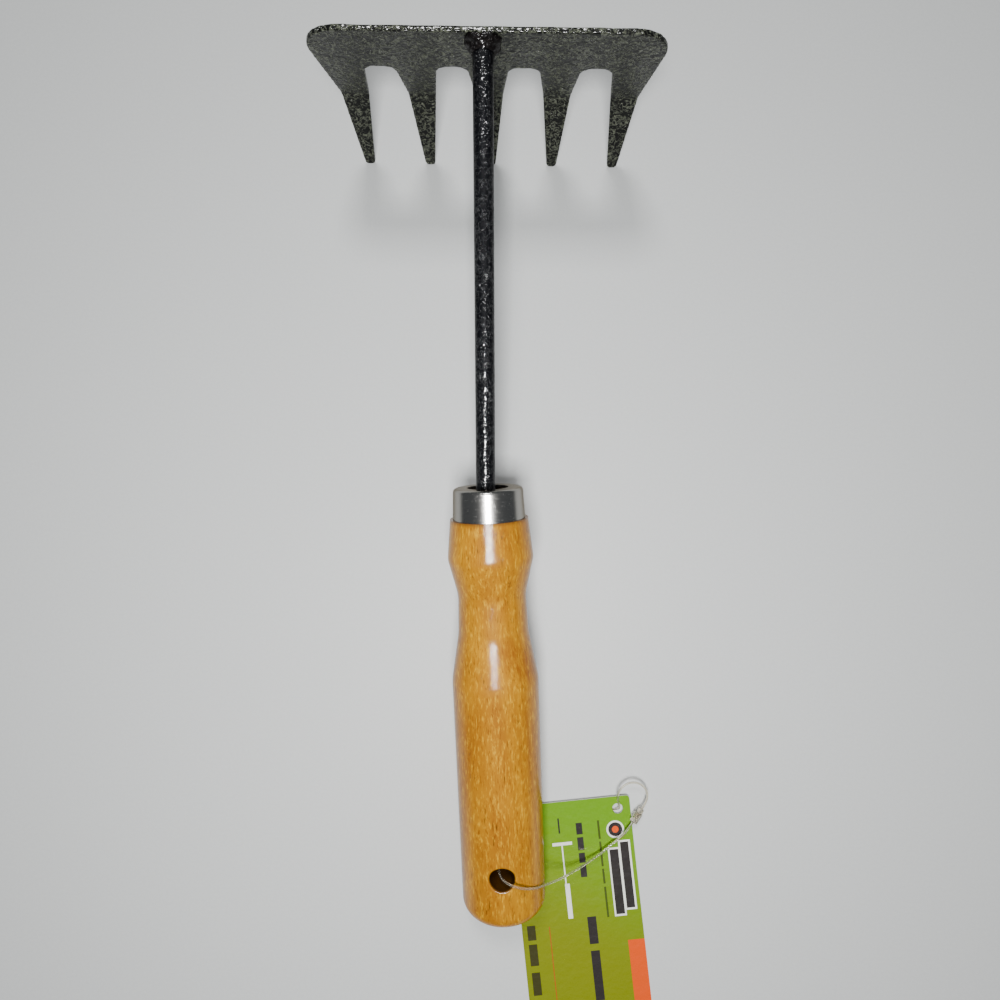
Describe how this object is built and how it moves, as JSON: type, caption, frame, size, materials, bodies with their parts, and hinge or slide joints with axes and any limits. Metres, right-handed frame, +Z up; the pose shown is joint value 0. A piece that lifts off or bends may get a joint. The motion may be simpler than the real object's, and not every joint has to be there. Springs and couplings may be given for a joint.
{
  "type": "hand rake",
  "caption": "Short hand cultivator: bent steel rake head welded to a round rod, turned wooden handle with steel ferrule, swing tag on a nylon loop.",
  "frame": {"origin": "on the table, under the middle of the tool's bounding box, with the tag and its loop left out", "axes": "+Z up, +Y from the handle towards the head, +X to the right; the tool rests on its tine tips and the butt of its handle"},
  "size_m": [0.1191, 0.3555, 0.0736],
  "materials": {
    "hammertone_enamel": "glossy hammered enamel, charcoal with a silver-green vein",
    "weld_metal": "glossy, browned",
    "polished_steel": "polished, drawn",
    "varnished_wood": "clear glossy varnish over a golden hardwood",
    "tag_card": "glossy printed card",
    "clear_nylon": "clear, slightly milky"
  },
  "bodies": {
    "tool": {"handle": "varnished_wood", "ferrule": "polished_steel", "shank": "hammertone_enamel", "weld_bead": "weld_metal", "rake_head": "hammertone_enamel", "tag_loop": "clear_nylon", "loop_lock_socket": "clear_nylon", "loop_lock_plug": "clear_nylon"},
    "tag": {"tag_card": "tag_card"}
  },
  "joints": [
    {"name": "tag_swivel", "type": "hinge", "parent": "tool", "child": "tag", "pos_m": [0.04834, -0.11758, 0.0013], "axis": [0, 0, 1], "range_deg": [0, 75]}
  ]
}
